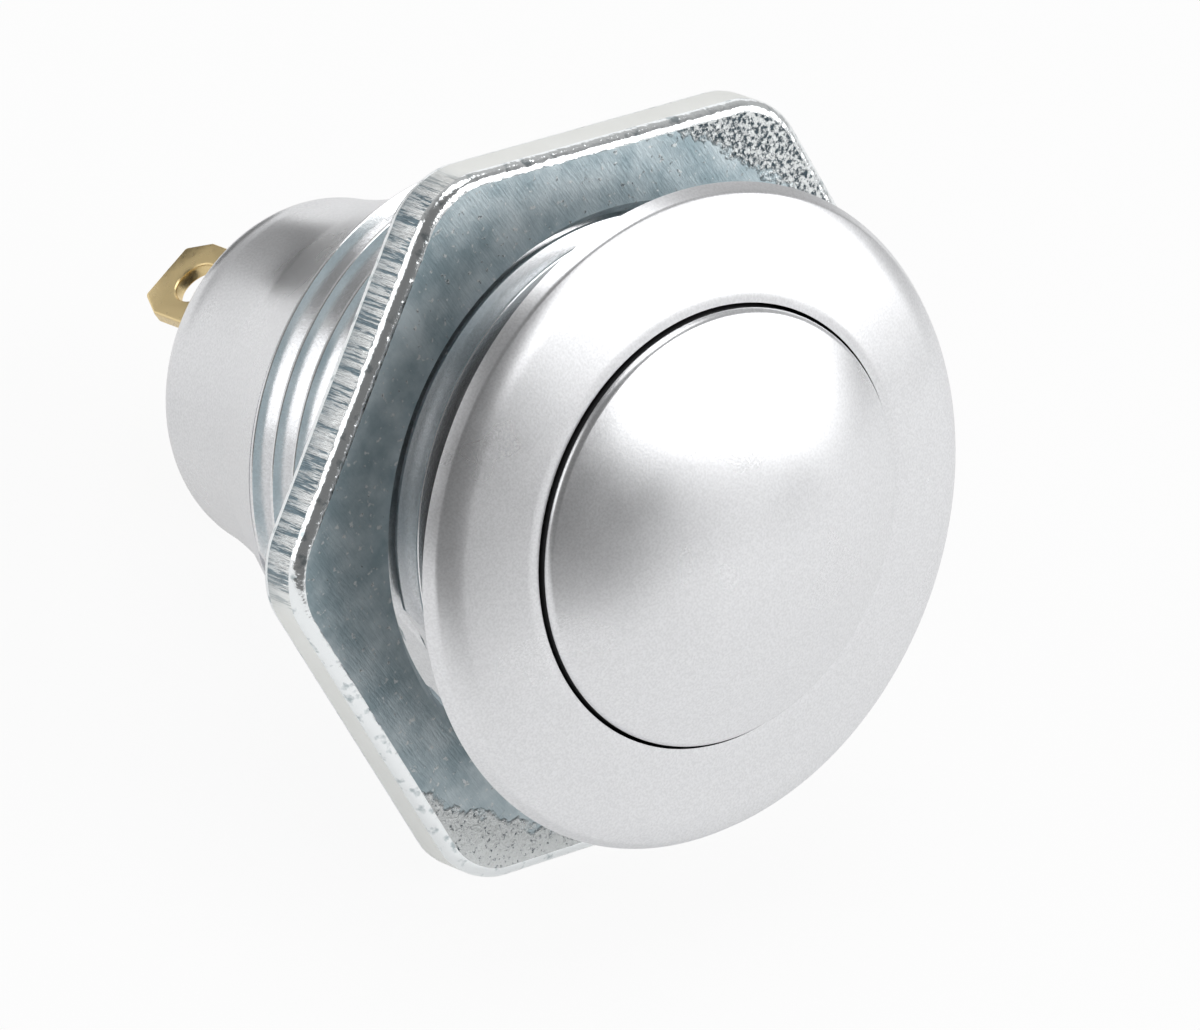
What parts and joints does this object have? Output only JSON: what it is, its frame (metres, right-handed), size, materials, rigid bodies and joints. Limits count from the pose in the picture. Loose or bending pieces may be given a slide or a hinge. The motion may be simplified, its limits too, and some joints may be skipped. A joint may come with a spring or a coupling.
{
  "type": "pushbutton switch",
  "caption": "Round metal panel pushbutton with a domed momentary button, crowned bezel, threaded barrel with hex nut, rounded rear shell and gold-plated solder lugs.",
  "frame": {"origin": "centre of the bezel's underside, which seats on the front of the panel", "axes": "+Z out of the front along the barrel's axis, -Y the side of the barrel's flat, X from lug to lug"},
  "size_m": [0.0234, 0.0218, 0.0249],
  "materials": {
    "satin_aluminium": "satin, bead blasted and clear anodised",
    "satin_aluminium_button": "satin, bead blasted and clear anodised",
    "satin_aluminium_shell": "satin, clear anodised",
    "zinc_plated_steel": "bright zinc plating with a clear-blue passivate",
    "spring_steel": "bright drawn wire and strip",
    "bronze": "plain turned bearing bronze",
    "copper_alloy": "bright stamped strip",
    "contact_silver": "bright silver alloy",
    "gold_plate": "thin gold plate on brass strip",
    "black_rubber": "matt moulded nitrile rubber",
    "natural_moulding": "natural acetal moulding",
    "black_moulding": "glass-filled moulding",
    "potting_resin": "cast epoxy with a glossy free surface"
  },
  "bodies": {
    "housing": {"bezel_barrel": "satin_aluminium", "panel_seal": "black_rubber", "spring_seat": "spring_steel", "return_spring": "spring_steel", "guide_bush": "bronze", "insulating_sleeve": "black_moulding", "terminal_base": "black_moulding", "solder_lug_left": "gold_plate", "solder_lug_right": "gold_plate", "fixed_contact_left": "contact_silver", "fixed_contact_right": "contact_silver", "rear_shell": "satin_aluminium_shell", "resin_seal": "potting_resin"},
    "button": {"button": "satin_aluminium_button", "button_seal": "black_rubber", "retaining_clip": "spring_steel", "plunger": "natural_moulding", "contact_spring": "spring_steel"},
    "bridge": {"contact_bridge": "copper_alloy", "moving_contact_left": "contact_silver", "moving_contact_right": "contact_silver"},
    "nut": {"hex_nut": "zinc_plated_steel"}
  },
  "joints": [
    {"name": "button_press", "type": "slide", "parent": "housing", "child": "button", "axis": [0, 0, -1], "range_m": [0, 0.0014], "stiffness_N_per_m": 1500, "springref_m": -0.0012, "deforming": ["return_spring"]},
    {"name": "bridge_travel", "type": "slide", "parent": "housing", "child": "bridge", "axis": [0, 0, -1], "range_m": [0, 0.001], "deforming": ["contact_spring"]},
    {"name": "nut_travel", "type": "slide", "parent": "housing", "child": "nut", "axis": [0, 0, 1], "range_m": [-0.0057, 0.0021]}
  ],
  "couplings": [
    {"joint": "bridge_travel", "follows": "button_press", "ratio": 0.71429}
  ]
}
